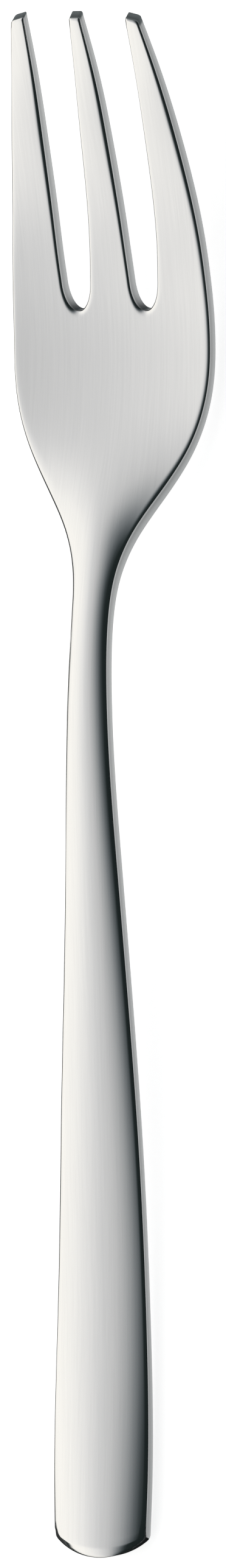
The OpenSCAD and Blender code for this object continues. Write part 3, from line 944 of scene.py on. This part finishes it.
# %% The floor
STUDIO_RADIUS = 12.0
FLOOR_DEPTH = 0.00002
FLOOR_GLOW = 0.80


def floor_material():
    material, surface = bare_material("pale_floor")
    tree = material.node_tree
    link = tree.links.new
    matt = add_node(tree, "ShaderNodeBsdfDiffuse", inputs_={"Color": (0.6, 0.6, 0.6, 1)})
    glow = add_node(tree, "ShaderNodeEmission", inputs_={"Color": (1, 1, 1, 1)})
    both = add_node(tree, "ShaderNodeAddShader")
    path = add_node(tree, "ShaderNodeLightPath").outputs
    seen = add_math(tree, "MAXIMUM", path["Is Camera Ray"], path["Is Glossy Ray"])
    shown = add_math(tree, "MAXIMUM", seen, path["Is Transmission Ray"])
    link(add_math(tree, "MULTIPLY", shown, FLOOR_GLOW), glow.inputs["Strength"])
    link(matt.outputs[0], both.inputs[0])
    link(glow.outputs[0], both.inputs[1])
    link(both.outputs[0], surface)
    return material


def floor_mesh(built):
    bmesh.ops.create_circle(built, cap_ends=True, segments=96, radius=STUDIO_RADIUS)
    bmesh.ops.translate(built, verts=built.verts, vec=(0, 0, -FLOOR_DEPTH))


studio_piece("floor", floor_mesh, floor_material())

# %% The light tent
TENT_SHARE = 0.98
TENT_STRENGTH = 1.4
TENT_LEAN = 0.13

# Degrees to the right of straight above, and the colour of the glow there
TENT_GLOW = [
    (-90, 0.02, 0.03, 0.03),
    (-84, 0.05, 0.06, 0.06),
    (-76, 1.36, 1.33, 1.26),
    (-60, 1.38, 1.35, 1.28),
    (-40, 1.29, 1.27, 1.22),
    (-28, 1.11, 1.10, 1.08),
    (-19, 0.908, 0.906, 0.903),
    (-10, 0.77, 0.77, 0.77),
    (0, 0.505, 0.52, 0.525),
    (8, 0.29, 0.31, 0.32),
    (16, 0.142, 0.16, 0.169),
    (24, 0.057, 0.07, 0.074),
    (34, 0.019, 0.027, 0.027),
    (90, 0.014, 0.02, 0.02),
]


def tent_material():
    material, surface = bare_material("light_tent")
    tree = material.node_tree
    link = tree.links.new
    glow = add_node(tree, "ShaderNodeEmission", inputs_={"Strength": TENT_STRENGTH})
    place = add_node(tree, "ShaderNodeTexCoord")
    split = add_node(tree, "ShaderNodeSeparateXYZ")
    upright = add_node(tree, "ShaderNodeCombineXYZ")
    height = add_node(tree, "ShaderNodeVectorMath", operation="LENGTH")
    ahead = add_math(tree, "MAXIMUM", split.outputs["Y"], 0.0)
    behind = add_math(tree, "MINIMUM", split.outputs["Y"], 0.0)
    lowered = add_math(tree, "MULTIPLY_ADD", behind, TENT_LEAN, height.outputs["Value"])
    angle = add_math(tree, "ARCTAN2", split.outputs["X"], lowered)
    share = add_node(tree, "ShaderNodeMapRange", inputs_={1: -math.pi / 2, 2: math.pi / 2})
    fade = add_node(tree, "ShaderNodeValToRGB")
    stops = fade.color_ramp.elements
    for number, (degrees, *colour) in enumerate(TENT_GLOW):
        position = degrees / 180 + 0.5
        stop = stops[number] if number < 2 else stops.new(position)
        stop.position, stop.color = position, (*[c / TENT_STRENGTH for c in colour], 1)
    link(place.outputs["Object"], split.inputs[0])
    link(ahead, upright.inputs["Y"])
    link(split.outputs["Z"], upright.inputs["Z"])
    link(upright.outputs[0], height.inputs[0])
    link(angle, share.inputs[0])
    link(share.outputs[0], fade.inputs["Fac"])
    link(fade.outputs["Color"], glow.inputs["Color"])
    link(glow.outputs[0], surface)
    return material


def tent_mesh(built):
    bmesh.ops.create_uvsphere(built, u_segments=64, v_segments=32, radius=STUDIO_RADIUS * TENT_SHARE)
    low = [v for v in built.verts if v.co.z < -0.01]
    bmesh.ops.delete(built, geom=low, context="VERTS")


tent = studio_piece("light_tent", tent_mesh, tent_material())
tent.visible_camera = False

# %% [markdown]
# ## A black card
# Photographers of cutlery lay black card close round a bright piece, because steel that mirrors only
# white has no outline. Here a card lies on the floor round the fork. Only the steel's reflections see
# it, so it draws the thin dark line along the rolled edges, while the floor stays white in the picture.
# A smaller grey card lies on it past the tips: there pure black would swallow the ends of the tines.

# %% Lay the black card round the fork
CARD_OUTER, CARD_END = 0.35, 0.06
CARD_HEIGHT, GREY_CARD_HEIGHT = 0.00002, 0.00004

# In metres: the grey card's near and far end and half its width, and the hole's (y, left, right)
GREY_CARD = (0.0805, 0.2, 0.07)
CARD_HOLE = [(-0.0765, -0.0078, 0.0095), (0.022, -0.0085, 0.0125)]
CARD_HOLE += [(0.036, -0.0132, 0.018), (0.0805, -0.0132, 0.02)]


def card_material(name, colour):
    material = bpy.data.materials.new(name)
    material.use_nodes = True
    shader = material.node_tree.nodes["Principled BSDF"]
    shader.inputs["Base Color"].default_value = (*colour, 1)
    shader.inputs["Roughness"].default_value = 0.9
    shader.inputs["Specular IOR Level"].default_value = 0.1
    return material


def card_mesh(built):
    hole = [(right, y) for y, left, right in CARD_HOLE]
    hole += [(left, y) for y, left, right in reversed(CARD_HOLE)]
    inner = [built.verts.new((x, y, CARD_HEIGHT)) for x, y in hole]
    outer = []
    for x, y in hole:
        far_y = math.copysign(CARD_OUTER, y) if abs(y) > CARD_END else y
        outer.append(built.verts.new((math.copysign(CARD_OUTER, x), far_y, CARD_HEIGHT)))
    for a in range(len(hole)):
        b = (a + 1) % len(hole)
        built.faces.new((inner[a], outer[a], outer[b], inner[b]))
    bmesh.ops.recalc_face_normals(built, faces=built.faces)


def grey_card_mesh(built):
    near, far, half = GREY_CARD
    corners = ((-half, near), (half, near), (half, far), (-half, far))
    built.faces.new([built.verts.new((x, y, GREY_CARD_HEIGHT)) for x, y in corners])


black = studio_piece("black_card", card_mesh, card_material("black_card", (0.05, 0.056, 0.058)))
grey = studio_piece("grey_card", grey_card_mesh, card_material("grey_card", (0.5, 0.55, 0.57)))
for card in (black, grey):
    card.visible_camera = card.visible_diffuse = card.visible_shadow = False

# %% The room past the tent
world = bpy.data.worlds.new("white_room")
world.use_nodes = True
world.node_tree.nodes["Background"].inputs["Color"].default_value = (1, 1, 1, 1)
world.node_tree.nodes["Background"].inputs["Strength"].default_value = 1.0
scene.world = world
scene.view_settings.view_transform = "Standard"
